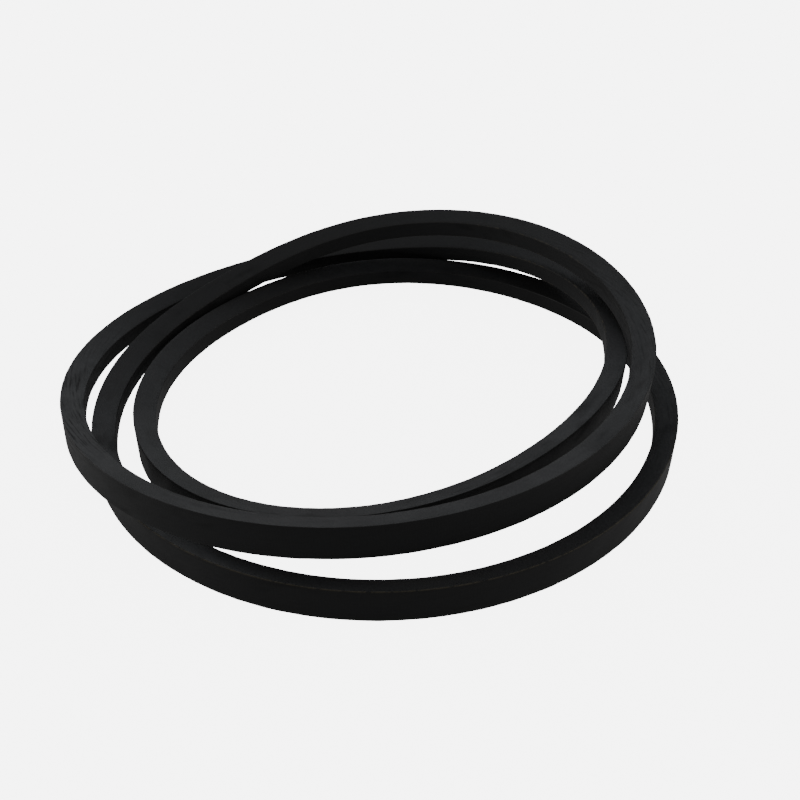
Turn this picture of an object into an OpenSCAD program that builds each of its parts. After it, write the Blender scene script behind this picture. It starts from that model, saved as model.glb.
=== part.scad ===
// Endless wrapped V-belt of classical B section, put away as a coil of three turns.
// One closed belt runs three times round the coil and joins itself, so it has no ends.
// It lies on its side: the wide back faces outwards and one flank faces up.

/* [Belt section] */
// Width across the back of the belt
back_w = 17; // [15:0.5:18]
// Depth from the back to the narrow base
belt_d = 11; // [10:0.5:12]
// Angle between the two flanks
wedge_angle = 40; // [34:1:44]

/* [Cover] */
// Thickness of one ply of the cover cloth
ply_t = 0.6; // [0.3:0.1:0.7]
// Width of the slanted lap that closes a ply on the base
lap_w = 2; // [1:0.5:3]

/* [Layers] */
// Depth of the tension rubber under the back
overcord_d = 1.4; // [0.8:0.1:1.8]
// Depth of the plain gum above the cord
upper_gum_d = 0.7; // [0.4:0.1:1]
// Depth of the gum left under the cord
under_cord_d = 0.8; // [0.5:0.1:1.2]

/* [Cord] */
// Thickness of the tensile cord
cord_dia = 1.4; // [1:0.1:1.5]
// Step from one turn of the cord to the next, across the belt
cord_pitch = 1.7; // [1.65:0.05:1.8]

/* [Coil] */
// Number of rings that each turn of the coil is drawn with
rings_per_turn = 44; // [24:4:44]

/* [Hidden] */

// The route of the belt's middle line. Each row is a distance from the coil's axis, a height
// and a lean in degrees, where a positive lean tips the back's upper edge outwards. A row
// follows every eighth of a turn, from the left through the front, the right and the back.
stations = [
    [149, 17, -3], [155, 30, -3], [156, 37, 0], [152, 43, 3],
    [138, 49, 2], [133, 53, -2], [128, 41, -5], [117, 17, -6],
    [128, 11, -4], [150, 10, 0], [164, 9, 0], [167, 10, 2],
    [156, 13, -1], [139, 11, -3], [125, 10, -4], [104, 8.5, -3],
    [110, 9, -1], [128, 10, 0], [133, 21, 0], [123, 30, 1],
    [134, 33, 3], [144, 32, -2], [143, 15, -4], [139, 11, -5],
];
turns = 3;
per_turn = len(stations) / turns;
start_angle = 180;
rings = turns * rings_per_turn;

cover_lengths = 4;
rings_per_length = rings / cover_lengths;
// The span between rings that holds the first splice of the cover.
first_splice = 38;
// How much of its span a slanted splice takes on either side of the middle.
splice_slant = 0.35;

cord_turns = 5;
flank_slope = tan(wedge_angle / 2);
flank_cos = cos(wedge_angle / 2);
cover_t = 2 * ply_t;
overcord_top = cover_t;
upper_gum_top = overcord_top + overcord_d;
cord_top = upper_gum_top + upper_gum_d;
cord_bottom = cord_top + cord_dia;
core_top = cord_bottom + under_cord_d;
core_bottom = belt_d - cover_t;
cord_r = cord_dia / sqrt(3);
channel_half = cord_r + 0.01;
lap_gap = 0.04;
splice_gap = 0.0001;
cover_splice_gap = 0.001;

cloth_black = [0.09, 0.095, 0.1];
inner_cloth_black = [0.15, 0.15, 0.16];
rubber_black = [0.06, 0.06, 0.065];
gum_grey = [0.2, 0.2, 0.21];
core_black = [0.11, 0.11, 0.115];
cord_white = [0.82, 0.78, 0.68];

// ---- The route: a closed cubic B-spline drawn through the stations in polar form.

function weights(f) = [
    pow(1 - f, 3),
    3 * pow(f, 3) - 6 * pow(f, 2) + 4,
    -3 * pow(f, 3) + 3 * pow(f, 2) + 3 * f + 1,
    pow(f, 3)
] / 6;
function weight_slopes(f) = [
    -3 * pow(1 - f, 2),
    9 * pow(f, 2) - 12 * f,
    -9 * pow(f, 2) + 6 * f + 3,
    3 * pow(f, 2)
] / 6;
function four_stations(u) = [
    for (k = [-1:2]) stations[(floor(u) + k + len(stations)) % len(stations)]
];

// Distance, height and lean at t turns along the belt, and how fast they change in a turn.
function station_at(t) =
    let (u = t * per_turn) weights(u - floor(u)) * four_stations(u);
function station_slope(t) =
    let (u = t * per_turn) weight_slopes(u - floor(u)) * four_stations(u) * per_turn;

function unit(v) = v / norm(v);

// The origin, the outward and the upward direction of the section at t turns.
function section_frame(t) =
    let (s = station_at(t), ds = station_slope(t), a = start_angle + 360 * t,
         radial = [cos(a), sin(a), 0], around = [-sin(a), cos(a), 0],
         tangent = unit(radial * ds[0] + around * s[0] * 2 * PI + [0, 0, ds[1]]),
         level = unit(cross(tangent, [0, 0, 1])), upright = cross(level, tangent),
         outward = level * cos(s[2]) - upright * sin(s[2]),
         upward = upright * cos(s[2]) + level * sin(s[2]))
    [radial * s[0] + [0, 0, s[1]], outward, upward];

// A section's points are [depth under the back, height from the belt's middle].
function placed(t, section) =
    let (f = section_frame(t))
    [for (p = section) f[0] + f[1] * (belt_d / 2 - p[0]) + f[2] * p[1]];

// ---- Sections, each listed from the base round the upper side, the back and the lower side.

function half_w(depth, inset) = back_w / 2 - depth * flank_slope - inset / flank_cos;
function layer(top, bottom) = [
    [bottom, half_w(bottom, cover_t)],
    [top, half_w(top, cover_t)],
    [top, -half_w(top, cover_t)],
    [bottom, -half_w(bottom, cover_t)]
];
// A ply wraps the whole section and closes on the base in a slanted lap.
function ply(inset, lean_to) =
    let (deeper = inset + ply_t, base = belt_d - inset, inside = belt_d - deeper,
         lap = lean_to * lap_w / 2)
    [
        [base, lap + lap_gap],
        [base, half_w(base, inset)],
        [inset, half_w(inset, inset)],
        [inset, -half_w(inset, inset)],
        [base, -half_w(base, inset)],
        [base, lap - lap_gap],
        [inside, -lap - lap_gap],
        [inside, -half_w(inside, deeper)],
        [deeper, -half_w(deeper, deeper)],
        [deeper, half_w(deeper, deeper)],
        [inside, half_w(inside, deeper)],
        [inside, -lap + lap_gap]
    ];
ply_end = [[0, 1, 10, 11], [1, 2, 9, 10], [2, 3, 8, 9], [3, 4, 7, 8], [4, 5, 6, 7]];
// The cord climbs by one pitch on every lap of the belt.
function cord_height(turn, t) = cord_pitch * (turn - cord_turns / 2 + t / turns - 1);
function cord_section(turn, t) = [
    for (a = [0:60:300])
        [cord_top + cord_dia / 2 - cord_r * sin(a), cord_height(turn, t) + cord_r * cos(a)]
];
function channelled_gum(t) = [
    [core_top, half_w(core_top, cover_t)],
    [cord_top, half_w(cord_top, cover_t)],
    for (turn = [cord_turns:-1:1], corner = [[0, 1], [1, 1], [1, -1], [0, -1]])
        [cord_top + corner[0] * cord_dia, cord_height(turn, t) + corner[1] * channel_half],
    [cord_top, -half_w(cord_top, cover_t)],
    [core_top, -half_w(core_top, cover_t)]
];

// ---- Sweeps: rings of points joined into one closed mesh.

function corner_index(ring, k, corners, count) = (ring % count) * corners + k % corners;
function side_faces(spans, corners, count) = [
    for (i = [0:spans - 1], k = [0:corners - 1], half = [0, 1])
        let (a = corner_index(i, k, corners, count),
             b = corner_index(i + 1, k, corners, count),
             c = corner_index(i + 1, k + 1, corners, count),
             d = corner_index(i, k + 1, corners, count))
        half == 0 ? [a, b, c] : [a, c, d]
];

module endless(sections) {
    polyhedron(
        points = [for (i = [0:rings - 1]) each placed(turns * i / rings, sections)],
        faces = side_faces(rings, len(sections), rings),
        convexity = 10
    );
}

// An open length is closed by its two end faces, given as lists of corners.
module spliced(ring_points, ends) {
    corners = len(ring_points[0]);
    spans = len(ring_points) - 1;
    polyhedron(
        points = [for (ring = ring_points) each ring],
        faces = concat(
            side_faces(spans, corners, spans + 1),
            ends,
            [for (face = ends) [for (k = [len(face) - 1:-1:0]) face[k] + spans * corners]]
        ),
        convexity = 10
    );
}
function ring_t(i, gap) = i < rings ? turns * i / rings : turns - gap;

// The slanted ring where two lengths of cloth meet, between ring i and the next one.
function splice_ring(i, sections, shift) =
    let (before = placed(turns * i / rings, sections),
         after = placed(turns * (i + 1) / rings, sections))
    [
        for (k = [0:len(sections) - 1])
            let (share = 0.5 + shift + splice_slant * sections[k][1] / half_w(0, 0))
            before[k] * (1 - share) + after[k] * share
    ];

// Standing the coil on z = 0 with the middle of its outline over the origin.
back_edges = [
    for (i = [0:rings - 1]) each placed(turns * i / rings, ply(0, 1))
];
low = [for (axis = [0:2]) min([for (p = back_edges) p[axis]])];
high = [for (axis = [0:2]) max([for (p = back_edges) p[axis]])];
module stood() {
    translate([-(low[0] + high[0]) / 2, -(low[1] + high[1]) / 2, -low[2]]) children();
}

// ---- Sub-parts

// The outer ply is bias cloth, which comes in lengths that are spliced end to end.
module outer_cover_length(number) {
    first = first_splice + (number - 1) * rings_per_length;
    last = first + rings_per_length;
    color(cloth_black) stood() spliced(
        [
            splice_ring(first, ply(0, 1), cover_splice_gap),
            for (i = [first + 1:last]) placed(turns * i / rings, ply(0, 1)),
            splice_ring(last, ply(0, 1), -cover_splice_gap)
        ],
        ply_end
    );
}

module inner_cover_ply() {
    color(inner_cloth_black) stood() endless(ply(ply_t, -1));
}

module overcord_rubber() {
    color(rubber_black) stood() endless(layer(overcord_top, upper_gum_top));
}

module upper_adhesion_gum() {
    color(gum_grey) stood() endless(layer(upper_gum_top, cord_top));
}

// The cord's turns lie in channels that climb across the gum with it.
module lower_adhesion_gum() {
    last = 4 * cord_turns;
    lands = [for (turn = [1:cord_turns - 1]) let (k = 4 * turn) [k, k + 1, k + 2, k + 3]];
    floor_face = concat(
        [0],
        [for (turn = [0:cord_turns - 1]) each [4 * turn + 3, 4 * turn + 4]],
        [last + 3]
    );
    color(gum_grey) stood() spliced(
        [for (i = [0:rings]) let (t = ring_t(i, splice_gap)) placed(t, channelled_gum(t))],
        concat([[0, 1, 2, 3]], lands, [[last, last + 1, last + 2, last + 3]], [floor_face])
    );
}

module compression_rubber() {
    color(core_black) stood() endless(layer(core_top, core_bottom));
}

module tensile_cord_turn(turn) {
    color(cord_white) stood() spliced(
        [for (i = [0:rings]) let (t = ring_t(i, 0)) placed(t, cord_section(turn, t))],
        [[0, 1, 2, 3, 4, 5]]
    );
}

outer_cover_length(1);  // outer_cover_length_1
outer_cover_length(2);  // outer_cover_length_2
outer_cover_length(3);  // outer_cover_length_3
outer_cover_length(4);  // outer_cover_length_4
inner_cover_ply();
overcord_rubber();
upper_adhesion_gum();
lower_adhesion_gum();
compression_rubber();
tensile_cord_turn(1);  // tensile_cord_turn_1
tensile_cord_turn(2);  // tensile_cord_turn_2
tensile_cord_turn(3);  // tensile_cord_turn_3
tensile_cord_turn(4);  // tensile_cord_turn_4
tensile_cord_turn(5);  // tensile_cord_turn_5
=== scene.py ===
"""Looks of the coiled V-belt: its cover of bias cloth, and the layers cured inside it."""

import math

import bmesh
import bpy
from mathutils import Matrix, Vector, noise


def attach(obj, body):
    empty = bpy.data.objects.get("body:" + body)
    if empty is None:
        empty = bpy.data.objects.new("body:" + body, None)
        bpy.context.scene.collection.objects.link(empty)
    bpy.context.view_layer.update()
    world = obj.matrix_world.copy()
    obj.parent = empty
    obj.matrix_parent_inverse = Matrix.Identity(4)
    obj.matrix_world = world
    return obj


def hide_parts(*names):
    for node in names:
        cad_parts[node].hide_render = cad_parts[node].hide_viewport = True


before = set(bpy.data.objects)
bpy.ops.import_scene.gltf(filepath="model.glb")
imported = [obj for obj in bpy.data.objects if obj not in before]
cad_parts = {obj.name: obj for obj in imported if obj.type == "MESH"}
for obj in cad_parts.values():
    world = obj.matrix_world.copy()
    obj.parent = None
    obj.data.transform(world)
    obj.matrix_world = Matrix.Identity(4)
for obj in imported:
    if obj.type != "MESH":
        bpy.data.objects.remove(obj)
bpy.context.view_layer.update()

MM = 0.001

# The belt's section, as in the CAD model.
BACK_W = 17 * MM
BELT_D = 11 * MM
FLANK_SLOPE = math.tan(math.radians(20))

# The route of the belt's middle line: distance from the coil's axis, height, and lean in
# degrees, at every eighth of a turn from the left through the front, the right and the back.
STATIONS = (
    (0.149, 0.017, -3), (0.155, 0.030, -3), (0.156, 0.037, 0), (0.152, 0.043, 3),
    (0.138, 0.049, 2), (0.133, 0.053, -2), (0.128, 0.041, -5), (0.117, 0.017, -6),
    (0.128, 0.011, -4), (0.150, 0.010, 0), (0.164, 0.009, 0), (0.167, 0.010, 2),
    (0.156, 0.013, -1), (0.139, 0.011, -3), (0.125, 0.010, -4), (0.104, 0.0085, -3),
    (0.110, 0.009, -1), (0.128, 0.010, 0), (0.133, 0.021, 0), (0.123, 0.030, 1),
    (0.134, 0.033, 3), (0.144, 0.032, -2), (0.143, 0.015, -4), (0.139, 0.011, -5),
)
TURNS = 3
PER_TURN = len(STATIONS) // TURNS
CAD_RINGS = 44 * TURNS
MEAN_REACH = 0.14
CORDS = 5

# The cover's four lengths of cloth, spliced end to end on a slant.
LENGTHS = 4
FIRST_SPLICE = 38.5 / 44
LENGTH_TURNS = TURNS / LENGTHS
SPLICE_SLANT = 0.35 / 44
SPLICE_GROOVE = 0.015 * MM

# How finely a length is drawn.
LENGTH_STEPS = 1200
CORNER_STEPS = 4
BACK_CORNER_R = 0.4 * MM
BASE_CORNER_R = 0.35 * MM
FLAT_STEP = 1.9 * MM

# The cured cloth's relief.
LAP_HALF = 1.0 * MM
LAP_STEP = 0.16 * MM
SWELL = 0.07 * MM
CORNER_WANDER = 0.10 * MM
WRINKLE = 0.07 * MM
COAT_SINK = 0.04 * MM
SWELL_SIZE = 12 * MM
WANDER_SIZE = 4 * MM
WANDER_REACH = 1.2 * MM
WRINKLE_SIZE = 1.1 * MM
WRINKLE_STRETCH = 0.12
WRINKLE_SLANT = 0.18
LEAST_RUMPLE = 0.02

# Where the cloth is rumpled: turns along the belt, width, strength.
WRINKLED = ((0.03, 0.05, 1.0), (0.47, 0.07, 0.6), (2.97, 0.04, 0.4), (2.52, 0.05, 0.3))


# ---- The route

def weights(f):
    """How much each of the four nearest stations counts, f of the way between the middle two."""
    return (
        (1 - f) ** 3 / 6,
        (3 * f**3 - 6 * f**2 + 4) / 6,
        (-3 * f**3 + 3 * f**2 + 3 * f + 1) / 6,
        f**3 / 6,
    )


def weight_slopes(f):
    return (
        -((1 - f) ** 2) / 2,
        (9 * f**2 - 12 * f) / 6,
        (-9 * f**2 + 6 * f + 3) / 6,
        f**2 / 2,
    )


def blend_stations(shares, first):
    """The four nearest stations, mixed in those shares."""
    rows = [STATIONS[(first + k - 1) % len(STATIONS)] for k in range(4)]
    return [sum(s * row[i] for s, row in zip(shares, rows)) for i in range(3)]


def section_frame(t):
    """Middle, outward direction and upward direction of the belt's section at t turns."""
    u = t * PER_TURN
    first = math.floor(u)
    reach, height, lean = blend_stations(weights(u - first), first)
    slopes = blend_stations(weight_slopes(u - first), first)
    angle = math.pi + math.tau * t
    radial = Vector((math.cos(angle), math.sin(angle), 0))
    around = Vector((-math.sin(angle), math.cos(angle), 0))
    up = Vector((0, 0, 1))
    tangent = (
        radial * slopes[0] * PER_TURN
        + around * reach * math.tau
        + up * slopes[1] * PER_TURN
    ).normalized()
    level = tangent.cross(up).normalized()
    upright = level.cross(tangent)
    c, s = math.cos(math.radians(lean)), math.sin(math.radians(lean))
    middle = radial * reach + up * height
    return middle, level * c - upright * s, upright * c + level * s


def half_w(depth):
    """Half the belt's width at a depth under its back."""
    return BACK_W / 2 - depth * FLANK_SLOPE


def standing_shift():
    """What stands the coil on z = 0 with the middle of its outline over the origin."""
    corners = [(d, h * half_w(d)) for d in (0, BELT_D) for h in (1, -1)]
    points = []
    for i in range(CAD_RINGS):
        middle, outward, upward = section_frame(TURNS * i / CAD_RINGS)
        points += [middle + outward * (BELT_D / 2 - d) + upward * h for d, h in corners]
    low = [min(p[k] for p in points) for k in range(3)]
    high = [max(p[k] for p in points) for k in range(3)]
    return Vector((-(low[0] + high[0]) / 2, -(low[1] + high[1]) / 2, -low[2]))


SHIFT = standing_shift()
FRAME_STEPS = 3000
FRAMES = [section_frame(TURNS * i / FRAME_STEPS) for i in range(FRAME_STEPS)]


def frame_near(t):
    """The section's frame at t turns, between the two nearest in the ready-made list."""
    place = t / TURNS * FRAME_STEPS
    first = math.floor(place)
    before, after = FRAMES[first % FRAME_STEPS], FRAMES[(first + 1) % FRAME_STEPS]
    share = place - first
    return [a.lerp(b, share) for a, b in zip(before, after)]


BELT_LENGTH = sum((FRAMES[i][0] - FRAMES[i - 1][0]).length for i in range(FRAME_STEPS))
TURN_LENGTH = BELT_LENGTH / TURNS


# ---- The cover

def rounded_section():
    """The section's outline with rounded corners, as a ring of (depth, height), from the lap."""
    bm = bmesh.new()
    back, base = half_w(0), half_w(BELT_D)
    flat = [
        (BELT_D, 0),
        (BELT_D, LAP_HALF),
        (BELT_D, base),
        (0, back),
        (0, -back),
        (BELT_D, -base),
        (BELT_D, -LAP_HALF),
    ]
    corners = [bm.verts.new((d, h, 0)) for d, h in flat]
    bm.faces.new(corners)
    for pair, radius in ((corners[3:5], BACK_CORNER_R), (corners[2:6:3], BASE_CORNER_R)):
        bmesh.ops.bevel(
            bm,
            geom=list(pair),
            offset=radius,
            offset_type="OFFSET",
            segments=CORNER_STEPS,
            profile=0.5,
            affect="VERTICES",
            material=-1,
        )
    for edge in [e for e in bm.edges if e.calc_length() > 1.5 * FLAT_STEP]:
        cuts = round(edge.calc_length() / FLAT_STEP) - 1
        bmesh.ops.subdivide_edges(bm, edges=[edge], cuts=cuts)
    face = bm.faces[:][0]
    ring = [(v.co.x, v.co.y) for v in (loop.vert for loop in face.loops)]
    bm.free()
    start = min(range(len(ring)), key=lambda i: abs(ring[i][1]) - ring[i][0])
    ring = ring[start:] + ring[:start]
    if ring[1][1] < 0:
        ring = [ring[0]] + ring[:0:-1]
    return ring + [ring[0]]


def square_to(ring):
    """The direction out of the outline at each of its points, in (depth, height)."""
    last = len(ring) - 1
    out = []
    for i in range(len(ring)):
        before, after = ring[(i - 1) % last], ring[(i + 1) % last]
        along = Vector((after[0] - before[0], after[1] - before[1])).normalized()
        out.append((along.y, -along.x))
    return out


def corner_gap(depth, height):
    """Distance from a point of the section to the nearest of its four corners."""
    spots = [(d, h * half_w(d)) for d in (0, BELT_D) for h in (1, -1)]
    return min(math.dist((depth, height), spot) for spot in spots)


def bell(distance, width):
    return math.exp(-((distance / width) ** 2))


def wrinkle_share(t):
    """How rumpled the cloth is at t turns: it is pinched where the belt bends over itself."""
    half = TURNS / 2
    total = 0
    for at, width, share in WRINKLED:
        total += share * bell((t - at + half) % TURNS - half, width)
    return total


def relief(t, along, round_at, depth, height):
    """How far the cured cloth stands out of the true section."""
    ring_angle = math.tau * along / BELT_LENGTH
    big = Vector((math.cos(ring_angle), math.sin(ring_angle), 0)) * BELT_LENGTH / math.tau
    across = Vector((0, 0, round_at))
    rise = SWELL * noise.noise((big + across) / SWELL_SIZE)
    gap = corner_gap(depth, height)
    wander = noise.noise((big + across * 0.2) / WANDER_SIZE)
    rise += CORNER_WANDER * bell(gap, WANDER_REACH) * wander
    rumple = wrinkle_share(t)
    if rumple > LEAST_RUMPLE:
        skew = Vector((0, 0, round_at + WRINKLE_SLANT * along))
        streaks = noise.noise((big * WRINKLE_STRETCH + skew) / WRINKLE_SIZE)
        rise += WRINKLE * rumple * streaks
    if depth > BELT_D - 0.01 * MM:
        rise += LAP_STEP * (0.5 - height / LAP_HALF / 2) if abs(height) <= LAP_HALF else 0
    return rise - COAT_SINK


def make_length(number):
    """One length of the outer ply: a flat strip of cloth wrapped round the belt."""
    ring = rounded_section()
    out = square_to(ring)
    steps = [math.dist(a, b) for a, b in zip(ring, ring[1:])]
    round_at = [sum(steps[:i]) for i in range(len(ring))]
    columns = len(ring) - 1
    start = FIRST_SPLICE + (number - 1) * LENGTH_TURNS

    bm = bmesh.new()
    bmesh.ops.create_grid(bm, x_segments=LENGTH_STEPS, y_segments=columns, size=0.5)
    uv = bm.loops.layers.uv.new("cloth")
    corner = bm.verts.layers.float.new("corner_gap")
    place = {}
    for v in bm.verts:
        place[v] = (round((v.co.x + 0.5) * LENGTH_STEPS), round((v.co.y + 0.5) * columns))
    for face in bm.faces:
        for loop in face.loops:
            i, k = place[loop.vert]
            along = (start + LENGTH_TURNS * i / LENGTH_STEPS) * TURN_LENGTH
            loop[uv].uv = (along, round_at[k])
    for v in bm.verts:
        i, k = place[v]
        depth, height = ring[k]
        slant = SPLICE_SLANT * height / half_w(0)
        t = start + LENGTH_TURNS * i / LENGTH_STEPS + slant
        rise = relief(t, t * TURN_LENGTH, round_at[k % columns], depth, height)
        if i in (0, LENGTH_STEPS):
            rise -= SPLICE_GROOVE
        middle, outward, upward = frame_near(t)
        reach = BELT_D / 2 - depth - rise * out[k][0]
        v.co = middle + outward * reach + upward * (height + rise * out[k][1]) + SHIFT
        v[corner] = corner_gap(depth, height) / MM
    bmesh.ops.remove_doubles(bm, verts=bm.verts[:], dist=0.001 * MM)
    rims = [e for e in bm.edges if e.is_boundary]
    for edge in rims:
        edge.smooth = False
    bmesh.ops.holes_fill(bm, edges=rims, sides=0)
    bmesh.ops.recalc_face_normals(bm, faces=bm.faces[:])
    mesh = bpy.data.meshes.new(f"cover_length_{number}")
    bm.to_mesh(mesh)
    bm.free()
    mesh.shade_smooth()
    return mesh


def piece(name, mesh, slot, material, *nodes):
    """A finished object that rides on the belt and stands for CAD nodes."""
    obj = bpy.data.objects.new(name, mesh)
    bpy.context.scene.collection.objects.link(obj)
    obj.data.materials.append(material)
    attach(obj, "root")
    if nodes:
        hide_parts(*nodes)
    return obj


# ---- Shader node helpers

class Nodes:
    """Short ways to add and link shader nodes in one tree."""

    def __init__(self, tree):
        self.tree = tree

    def add(self, kind, **settings):
        node = self.tree.nodes.new(kind)
        for key, value in settings.items():
            setattr(node, key, value)
        return node

    def feed(self, socket, value):
        if isinstance(value, bpy.types.NodeSocket):
            self.tree.links.new(value, socket)
        else:
            socket.default_value = value

    def math(self, operation, *values, clamp=False):
        node = self.add("ShaderNodeMath", operation=operation, use_clamp=clamp)
        for socket, value in zip(node.inputs, values):
            self.feed(socket, value)
        return node.outputs[0]

    def remap(self, value, low, high, to_low=0.0, to_high=1.0):
        node = self.add("ShaderNodeMapRange", interpolation_type="SMOOTHSTEP")
        self.feed(node.inputs["Value"], value)
        self.feed(node.inputs["From Min"], low)
        self.feed(node.inputs["From Max"], high)
        self.feed(node.inputs["To Min"], to_low)
        self.feed(node.inputs["To Max"], to_high)
        return node.outputs["Result"]

    def mix(self, share, a, b):
        node = self.add("ShaderNodeMix", data_type="RGBA")
        self.feed(node.inputs["Factor"], share)
        self.feed(node.inputs["A"], a)
        self.feed(node.inputs["B"], b)
        return node.outputs["Result"]

    def noise(self, vector, scale, detail=2.0, roughness=0.5):
        node = self.add("ShaderNodeTexNoise")
        self.feed(node.inputs["Vector"], vector)
        self.feed(node.inputs["Scale"], scale)
        self.feed(node.inputs["Detail"], detail)
        self.feed(node.inputs["Roughness"], roughness)
        return node.outputs["Fac"]

    def scaled(self, vector, scale, turn=0.0):
        node = self.add("ShaderNodeMapping")
        self.feed(node.inputs["Vector"], vector)
        self.feed(node.inputs["Scale"], scale)
        self.feed(node.inputs["Rotation"], (0.0, 0.0, turn))
        return node.outputs["Vector"]

    def use(self, group, **values):
        node = self.add("ShaderNodeGroup", node_tree=group)
        for key, value in values.items():
            self.feed(node.inputs[key.replace("_", " ")], value)
        return node.outputs


def group(name, inputs, outputs):
    """An empty shader group with named sockets, its helper and its two ends."""
    tree = bpy.data.node_groups.new(name, "ShaderNodeTree")
    for label, kind, default in inputs:
        socket = tree.interface.new_socket(label, in_out="INPUT", socket_type=kind)
        if default is not None:
            socket.default_value = default
    for label, kind in outputs:
        tree.interface.new_socket(label, in_out="OUTPUT", socket_type=kind)
    nodes = Nodes(tree)
    start = nodes.add("NodeGroupInput").outputs
    end = nodes.add("NodeGroupOutput").inputs
    return tree, nodes, start, end


VECTOR = "NodeSocketVector"
FLOAT = "NodeSocketFloat"


def bias_weave_group():
    """Cloth whose two sets of threads cross the belt on a slant."""
    tree, nodes, start, end = group(
        "bias weave",
        [("Cloth", VECTOR, None), ("Thread", FLOAT, 0.9), ("Slant", FLOAT, 0.9)],
        [("Height", FLOAT), ("Groove", FLOAT)],
    )
    split = nodes.add("ShaderNodeSeparateXYZ")
    nodes.feed(split.inputs[0], start["Cloth"])
    pitch = nodes.math("MULTIPLY", start["Thread"], MM)
    along, across = split.outputs["X"], split.outputs["Y"]
    waver = nodes.noise(start["Cloth"], 90.0, 1.0)
    waver = nodes.math("MULTIPLY", nodes.math("SUBTRACT", waver, 0.5), 1.2 * MM)
    along = nodes.math("ADD", along, waver)
    ridges = []
    for side in (1.0, -1.0):
        tilt = nodes.math("MULTIPLY", start["Slant"], side)
        phase = nodes.math("ADD", along, nodes.math("MULTIPLY", across, tilt))
        phase = nodes.math("DIVIDE", phase, pitch)
        wave = nodes.math("SINE", nodes.math("MULTIPLY", phase, math.tau))
        ridges.append(nodes.math("MULTIPLY_ADD", wave, 0.5, 0.5))
    height = nodes.math("MAXIMUM", *ridges)
    nodes.feed(end["Height"], height)
    nodes.feed(end["Groove"], nodes.math("SUBTRACT", 1.0, height))
    return tree


def smudge_and_sheen_group():
    """Soft dark patches everywhere, and long thin rub marks where the belt has been rubbed; the rub
    marks are partly painted sheen, darker where they lose it and lighter where they catch it.
    """
    tree, nodes, start, end = group(
        "smudges_and_sheen",
        [
            ("Cloth", VECTOR, None),
            ("Patches", FLOAT, 1.0),
            ("Rubs", FLOAT, 1.0),
            ("Rub Slant", FLOAT, 0.12),
        ],
        # Dark: smudges, darker partly as painted loss of sheen; Light: painted sheen on the rub
        # marks.
        [("Dark", FLOAT), ("Light", FLOAT)],
    )
    patches = nodes.noise(nodes.scaled(start["Cloth"], (38.0, 85.0, 1.0)), 1.0, 2.0, 0.6)
    patches = nodes.remap(patches, 0.48, 0.74)
    where = nodes.remap(nodes.noise(start["Cloth"], 9.0, 1.0), 0.42, 0.60)
    patches = nodes.math("MULTIPLY", patches, where)

    split = nodes.add("ShaderNodeSeparateXYZ")
    nodes.feed(split.inputs[0], start["Cloth"])
    along, across = split.outputs["X"], split.outputs["Y"]
    leaning = nodes.math("MULTIPLY_ADD", along, start["Rub Slant"], across)
    skewed = nodes.add("ShaderNodeCombineXYZ")
    nodes.feed(skewed.inputs[0], nodes.math("MULTIPLY", along, 55.0))
    nodes.feed(skewed.inputs[1], nodes.math("MULTIPLY", leaning, 950.0))
    fine = nodes.noise(skewed.outputs[0], 1.0, 3.0, 0.55)
    # Dark rubs: rub marks, darker partly as painted loss of sheen; light rubs: painted sheen.
    dark_rubs_and_lost_sheen = nodes.math("MULTIPLY", nodes.remap(fine, 0.52, 0.66), start["Rubs"])
    painted_rub_sheen = nodes.math("MULTIPLY", nodes.remap(fine, 0.46, 0.30), start["Rubs"])
    dark = nodes.math(
        "MAXIMUM", nodes.math("MULTIPLY", patches, start["Patches"]), dark_rubs_and_lost_sheen, clamp=True
    )
    nodes.feed(end["Dark"], dark)
    nodes.feed(end["Light"], painted_rub_sheen)
    return tree


def lint_group():
    """Where the cloth's nap is worn light along a corner, in broken dashes."""
    tree, nodes, start, end = group(
        "corner lint",
        [
            ("Cloth", VECTOR, None),
            ("Gap", FLOAT, 1.0),
            ("Width", FLOAT, 0.5),
            ("Wear", FLOAT, 0.5),
        ],
        [("Amount", FLOAT)],
    )
    near = nodes.remap(start["Gap"], 0.15, start["Width"], 1.0, 0.0)
    dashes = nodes.noise(nodes.scaled(start["Cloth"], (260.0, 60.0, 1.0)), 1.0, 4.0, 0.7)
    limit = nodes.math("MULTIPLY_ADD", start["Wear"], -0.17, 0.60)
    dashes = nodes.remap(dashes, limit, nodes.math("ADD", limit, 0.16))
    worn = nodes.math("MULTIPLY", nodes.math("MULTIPLY", dashes, near), start["Wear"])
    nodes.feed(end["Amount"], worn)
    return tree


def grain_group():
    """The fine pebbled skin of cured rubber."""
    tree, nodes, start, end = group(
        "rubber grain",
        [("Place", VECTOR, None), ("Grain", FLOAT, 0.3)],
        [("Height", FLOAT)],
    )
    scale = nodes.math("DIVIDE", 1.0 / MM, start["Grain"])
    nodes.feed(end["Height"], nodes.noise(start["Place"], scale, 2.0, 0.6))
    return tree


WEAVE = bias_weave_group()
SMUDGES_AND_SHEEN = smudge_and_sheen_group()
LINT = lint_group()
GRAIN = grain_group()


# ---- Materials

def new_material(name):
    material = bpy.data.materials.new(name)
    material.use_nodes = True
    tree = material.node_tree
    return material, Nodes(tree), tree.nodes["Principled BSDF"].inputs


def bump_from(nodes, shader, height, strength, distance):
    bump = nodes.add("ShaderNodeBump")
    bump.inputs["Strength"].default_value = strength
    bump.inputs["Distance"].default_value = distance
    nodes.feed(bump.inputs["Height"], height)
    nodes.feed(shader["Normal"], bump.outputs["Normal"])


# Where the belt is rubbed, with painted sheen on its rub marks, and where its corners are worn to
# lint:
# turns along the belt, half length, strength.
RUB_ZONES = (
    (3.06, 0.06, 0.9),
    (2.99, 0.04, 0.25),
    (3.50, 0.12, 0.4),
    (1.47, 0.10, 0.3),
    (2.30, 0.05, 0.4),
)
LINT_ZONES = (
    (1.27, 0.26, 1.0),
    (2.57, 0.12, 0.7),
    (3.60, 0.08, 0.5),
)


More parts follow.
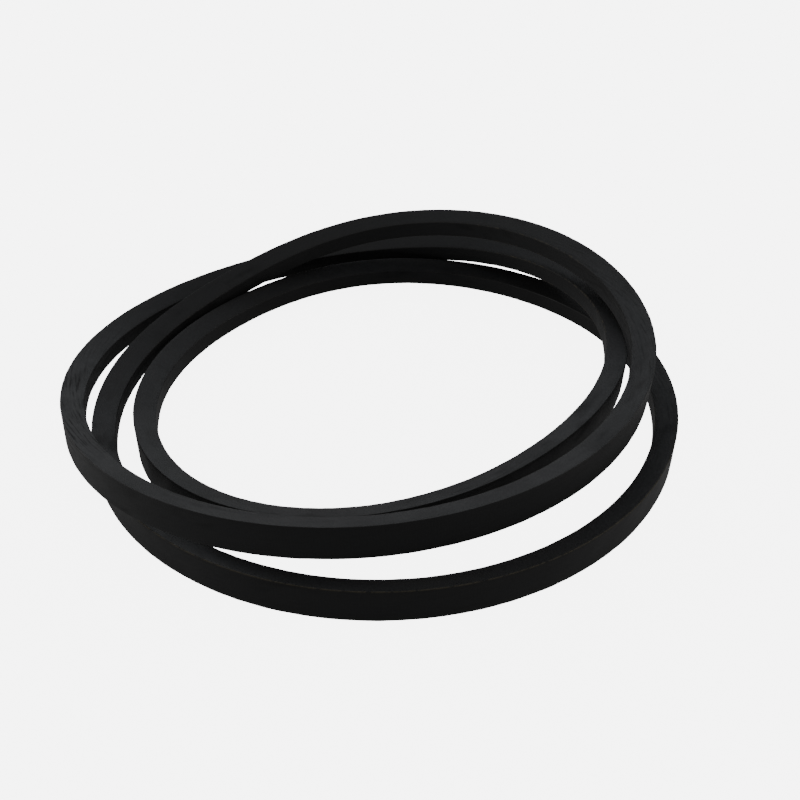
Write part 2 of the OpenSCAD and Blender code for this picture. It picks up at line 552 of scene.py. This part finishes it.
def strength_along(nodes, cloth, zones, elsewhere):
    """A strength that rises to each zone's own along the belt."""
    split = nodes.add("ShaderNodeSeparateXYZ")
    nodes.feed(split.inputs[0], cloth)
    turns = nodes.math("DIVIDE", split.outputs["X"], TURN_LENGTH)
    total = elsewhere
    for at, half, strength in zones:
        away = nodes.math("ABSOLUTE", nodes.math("SUBTRACT", turns, at))
        total = nodes.math("ADD", total, nodes.remap(away, 0.4 * half, half, strength, 0.0))
    return total


def cover_cloth():
    """Matt black rubber-coated bias cloth, smudged by handling, with painted sheen on its smudges
    and rub marks and painted shade in its weave's grooves.
    """
    material, nodes, shader = new_material("cover cloth")
    cloth = nodes.add("ShaderNodeUVMap", uv_map="cloth").outputs["UV"]
    gap = nodes.add("ShaderNodeAttribute", attribute_name="corner_gap").outputs["Fac"]
    weave = nodes.use(WEAVE, Cloth=cloth, Thread=1.1, Slant=0.8)
    rubbed = strength_along(nodes, cloth, RUB_ZONES, 0.08)
    marks = nodes.use(SMUDGES_AND_SHEEN, Cloth=cloth, Patches=0.6, Rubs=rubbed)
    smudges_and_sheen = marks["Dark"]
    worn = strength_along(nodes, cloth, LINT_ZONES, 0.25)
    lint = nodes.use(LINT, Cloth=cloth, Gap=gap, Width=0.9, Wear=worn)["Amount"]
    grain = nodes.use(GRAIN, Place=cloth, Grain=0.25)["Height"]

    mottle = nodes.remap(nodes.noise(cloth, 45.0, 4.0, 0.65), 0.3, 0.7)
    color = nodes.mix(mottle, (0.0103, 0.0101, 0.0103, 1), (0.0138, 0.0136, 0.0139, 1))
    # Painted sheen: smudges and rub marks darkened where they lose sheen, lightened with a blue
    # tint where they catch it.
    color = nodes.mix(smudges_and_sheen, color, (0.0080, 0.0078, 0.0078, 1))
    color = nodes.mix(marks["Light"], color, (0.0175, 0.0178, 0.0185, 1))
    # Painted shade: the weave's grooves darkened in colour.
    groove_shade = nodes.math("MULTIPLY", weave["Groove"], 0.35)
    color = nodes.mix(groove_shade, color, (0.0050, 0.0050, 0.0051, 1))
    color = nodes.mix(lint, color, (0.052, 0.046, 0.034, 1))
    nodes.feed(shader["Base Color"], color)

    rough = nodes.remap(mottle, 0.0, 1.0, 0.46, 0.54)
    rough = nodes.math("ADD", rough, nodes.math("MULTIPLY", smudges_and_sheen, 0.18))
    rough = nodes.math("ADD", rough, nodes.math("MULTIPLY", lint, 0.2), clamp=True)
    nodes.feed(shader["Roughness"], rough)
    sheen = nodes.math("MULTIPLY_ADD", smudges_and_sheen, -0.09, 0.25)
    sheen = nodes.math("MULTIPLY_ADD", marks["Light"], 0.06, sheen)
    nodes.feed(shader["Specular IOR Level"], sheen)

    height = nodes.math("MULTIPLY", weave["Height"], 0.6)
    height = nodes.math("ADD", height, nodes.math("MULTIPLY", grain, 0.5))
    bump_from(nodes, shader, height, 0.35, 0.06 * MM)
    return material


def square_of(nodes, *values):
    return [nodes.math("MULTIPLY", value, value) for value in values]


def ring_place(nodes):
    """Object coordinates unrolled round the coil: along, up, and outward, in metres."""
    split = nodes.add("ShaderNodeSeparateXYZ")
    nodes.feed(split.inputs[0], nodes.add("ShaderNodeTexCoord").outputs["Object"])
    x, y, z = split.outputs
    angle = nodes.math("ARCTAN2", y, x)
    joined = nodes.add("ShaderNodeCombineXYZ")
    nodes.feed(joined.inputs[0], nodes.math("MULTIPLY", angle, MEAN_REACH))
    nodes.feed(joined.inputs[1], z)
    nodes.feed(joined.inputs[2], nodes.math("SQRT", nodes.math("ADD", *square_of(nodes, x, y))))
    return joined.outputs[0]


def inner_cloth():
    """The second ply: the same cloth, its rubber coat still fresh and even."""
    material, nodes, shader = new_material("inner cover cloth")
    place = ring_place(nodes)
    weave = nodes.use(WEAVE, Cloth=place, Thread=1.1, Slant=0.8)
    # Painted shade: the weave's grooves darkened in colour.
    groove_shade = nodes.math("MULTIPLY", weave["Groove"], 0.5)
    color = nodes.mix(groove_shade, (0.017, 0.017, 0.018, 1), (0.006, 0.006, 0.006, 1))
    nodes.feed(shader["Base Color"], color)
    shader["Roughness"].default_value = 0.62
    shader["Specular IOR Level"].default_value = 0.3
    bump_from(nodes, shader, weave["Height"], 0.5, 0.10 * MM)
    return material


def moulded_rubber(name, dark, light, roughness, grain_size):
    """Solid cured rubber with a cloudy colour and a fine grain."""
    material, nodes, shader = new_material(name)
    place = ring_place(nodes)
    grain = nodes.use(GRAIN, Place=place, Grain=grain_size)["Height"]
    clouds = nodes.remap(nodes.noise(place, 60.0, 3.0, 0.6), 0.35, 0.65)
    nodes.feed(shader["Base Color"], nodes.mix(clouds, (*dark, 1), (*light, 1)))
    rough = nodes.remap(grain, 0.3, 0.7, roughness - 0.05, roughness + 0.05)
    nodes.feed(shader["Roughness"], rough)
    shader["Specular IOR Level"].default_value = 0.35
    bump_from(nodes, shader, grain, 0.4, 0.05 * MM)
    return material


def fibre_rubber():
    """The base compound: rubber filled with short fibres that all lie across the belt."""
    material, nodes, shader = new_material("fibre-filled rubber")
    place = ring_place(nodes)
    grain = nodes.use(GRAIN, Place=place, Grain=0.4)["Height"]
    fibres = nodes.noise(nodes.scaled(place, (2600.0, 320.0, 320.0)), 1.0, 2.0, 0.5)
    fibres = nodes.remap(fibres, 0.60, 0.70)
    color = nodes.mix(fibres, (0.014, 0.014, 0.014, 1), (0.10, 0.09, 0.07, 1))
    nodes.feed(shader["Base Color"], color)
    shader["Roughness"].default_value = 0.7
    shader["Specular IOR Level"].default_value = 0.3
    height = nodes.math("ADD", nodes.math("MULTIPLY", fibres, 0.7), grain)
    bump_from(nodes, shader, height, 0.5, 0.08 * MM)
    return material


def twisted_cord():
    """Polyester cord dipped in adhesive: twisted strands, rust-brown from the dip."""
    material, nodes, shader = new_material("twisted polyester cord")
    place = ring_place(nodes)
    strands = nodes.use(WEAVE, Cloth=place, Thread=1.6, Slant=1.1)
    grain = nodes.use(GRAIN, Place=place, Grain=0.12)["Height"]
    # Painted shade: the strands' valleys darkened in colour.
    valley_shade = nodes.math("MULTIPLY", strands["Groove"], 0.8)
    color = nodes.mix(valley_shade, (0.20, 0.085, 0.035, 1), (0.07, 0.026, 0.012, 1))
    nodes.feed(shader["Base Color"], color)
    rough = nodes.remap(grain, 0.3, 0.7, 0.5, 0.62)
    nodes.feed(shader["Roughness"], rough)
    height = nodes.math("ADD", strands["Height"], nodes.math("MULTIPLY", grain, 0.2))
    bump_from(nodes, shader, height, 0.7, 0.15 * MM)
    return material


def dress(node, material):
    """Give a carried-over CAD node its material."""
    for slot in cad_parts[node].material_slots:
        slot.link = "OBJECT"
        slot.material = material


cloth = cover_cloth()
for number in range(1, LENGTHS + 1):
    piece(
        f"cover_length_{number}",
        make_length(number),
        "cover_cloth",
        cloth,
        f"outer_cover_length_{number}",
    )


gum = moulded_rubber(
    "adhesion gum", (0.020, 0.017, 0.014), (0.030, 0.025, 0.020), 0.42, 0.5
)
tension_rubber = moulded_rubber(
    "tension rubber", (0.012, 0.012, 0.013), (0.018, 0.018, 0.019), 0.58, 0.3
)
cord = twisted_cord()
dress("inner_cover_ply", inner_cloth())
dress("overcord_rubber", tension_rubber)
dress("upper_adhesion_gum", gum)
dress("lower_adhesion_gum", gum)
dress("compression_rubber", fibre_rubber())
for number in range(1, CORDS + 1):
    dress(f"tensile_cord_turn_{number}", cord)


# ---- The room

FLOOR_REACH = 6
FLOOR_GLOW = 6.0
FLOOR_SHINE = 0.17
WORLD_GLOW = 0.26
WORLD_TINT = (0.96, 0.97, 1, 1)

# Where the camera stands before the coil is centred, how far it looks down, and its lens.
CAMERA_PLACE = (0.019, -0.429, 0.288)
CAMERA_DIP = 34.35
CAMERA_LENS = 41.94
SENSOR_W = 36


def floor_material():
    """A pale table top that glows to the eye, shines in the belt, and bounces little light."""
    material = bpy.data.materials.new("pale table top")
    material.use_nodes = True
    tree = material.node_tree
    tree.nodes.clear()
    nodes = Nodes(tree)
    path = nodes.add("ShaderNodeLightPath").outputs
    seen = path["Is Camera Ray"]
    shine = nodes.add("ShaderNodeEmission")
    nodes.feed(shine.inputs["Strength"], nodes.math("MULTIPLY", path["Is Glossy Ray"], FLOOR_SHINE))
    pale = nodes.add("ShaderNodeBsdfDiffuse")
    pale.inputs["Color"].default_value = (0.86, 0.86, 0.86, 1)
    dim = nodes.add("ShaderNodeBsdfDiffuse")
    dim.inputs["Color"].default_value = (0.30, 0.30, 0.30, 1)
    glow = nodes.add("ShaderNodeEmission")
    glow.inputs["Color"].default_value = (1, 1, 1, 1)
    glow.inputs["Strength"].default_value = FLOOR_GLOW
    lit = nodes.add("ShaderNodeAddShader")
    nodes.feed(lit.inputs[0], pale.outputs[0])
    nodes.feed(lit.inputs[1], glow.outputs[0])
    bounce = nodes.add("ShaderNodeAddShader")
    nodes.feed(bounce.inputs[0], dim.outputs[0])
    nodes.feed(bounce.inputs[1], shine.outputs[0])
    both = nodes.add("ShaderNodeMixShader")
    nodes.feed(both.inputs[0], seen)
    nodes.feed(both.inputs[1], bounce.outputs[0])
    nodes.feed(both.inputs[2], lit.outputs[0])
    out = nodes.add("ShaderNodeOutputMaterial")
    nodes.feed(out.inputs["Surface"], both.outputs[0])
    return material


def make_floor():
    bm = bmesh.new()
    bmesh.ops.create_grid(bm, x_segments=1, y_segments=1, size=FLOOR_REACH)
    mesh = bpy.data.meshes.new("floor")
    bm.to_mesh(mesh)
    bm.free()
    floor = bpy.data.objects.new("floor", mesh)
    bpy.context.scene.collection.objects.link(floor)
    mesh.materials.append(floor_material())


def softbox(name, place, size, power, color):
    """A rectangular light turned towards the coil."""
    light = bpy.data.lights.new(name, "AREA")
    light.shape = "RECTANGLE"
    light.size, light.size_y = size
    light.energy = power
    light.color = color
    obj = bpy.data.objects.new(name, light)
    bpy.context.scene.collection.objects.link(obj)
    obj.location = place
    obj.rotation_euler = (-Vector(place)).to_track_quat("-Z", "Y").to_euler()


def make_camera():
    camera = bpy.data.objects.new("camera", bpy.data.cameras.new("camera"))
    bpy.context.scene.collection.objects.link(camera)
    camera.location = Vector(CAMERA_PLACE) + SHIFT
    camera.rotation_euler = (math.radians(90 - CAMERA_DIP), 0, 0)
    camera.data.sensor_width = SENSOR_W
    camera.data.lens = CAMERA_LENS
    bpy.context.scene.camera = camera


def make_world():
    world = bpy.data.worlds.new("studio")
    world.use_nodes = True
    background = world.node_tree.nodes["Background"].inputs
    background["Color"].default_value = WORLD_TINT
    background["Strength"].default_value = WORLD_GLOW
    bpy.context.scene.world = world


make_floor()
make_camera()
softbox("back", (0, 1.6, 0.9), (2.4, 1.0), 4.0, (0.89, 0.93, 1.0))
softbox("low back", (0, 1.8, 0.35), (2.4, 0.6), 2.0, (0.95, 0.98, 1.0))
softbox("left", (-1.4, 0.1, 0.5), (0.9, 0.9), 7.5, (1.0, 0.99, 0.97))
softbox("right", (1.4, 0.1, 0.5), (0.9, 0.9), 5.8, (1.0, 0.97, 0.92))
softbox("overhead", (0, 0.2, 1.5), (1.4, 1.0), 2.0, (0.95, 0.97, 1.0))
softbox("front", (0, -1.4, 1.2), (1.6, 0.9), 0.8, (1.0, 0.99, 0.98))
make_world()
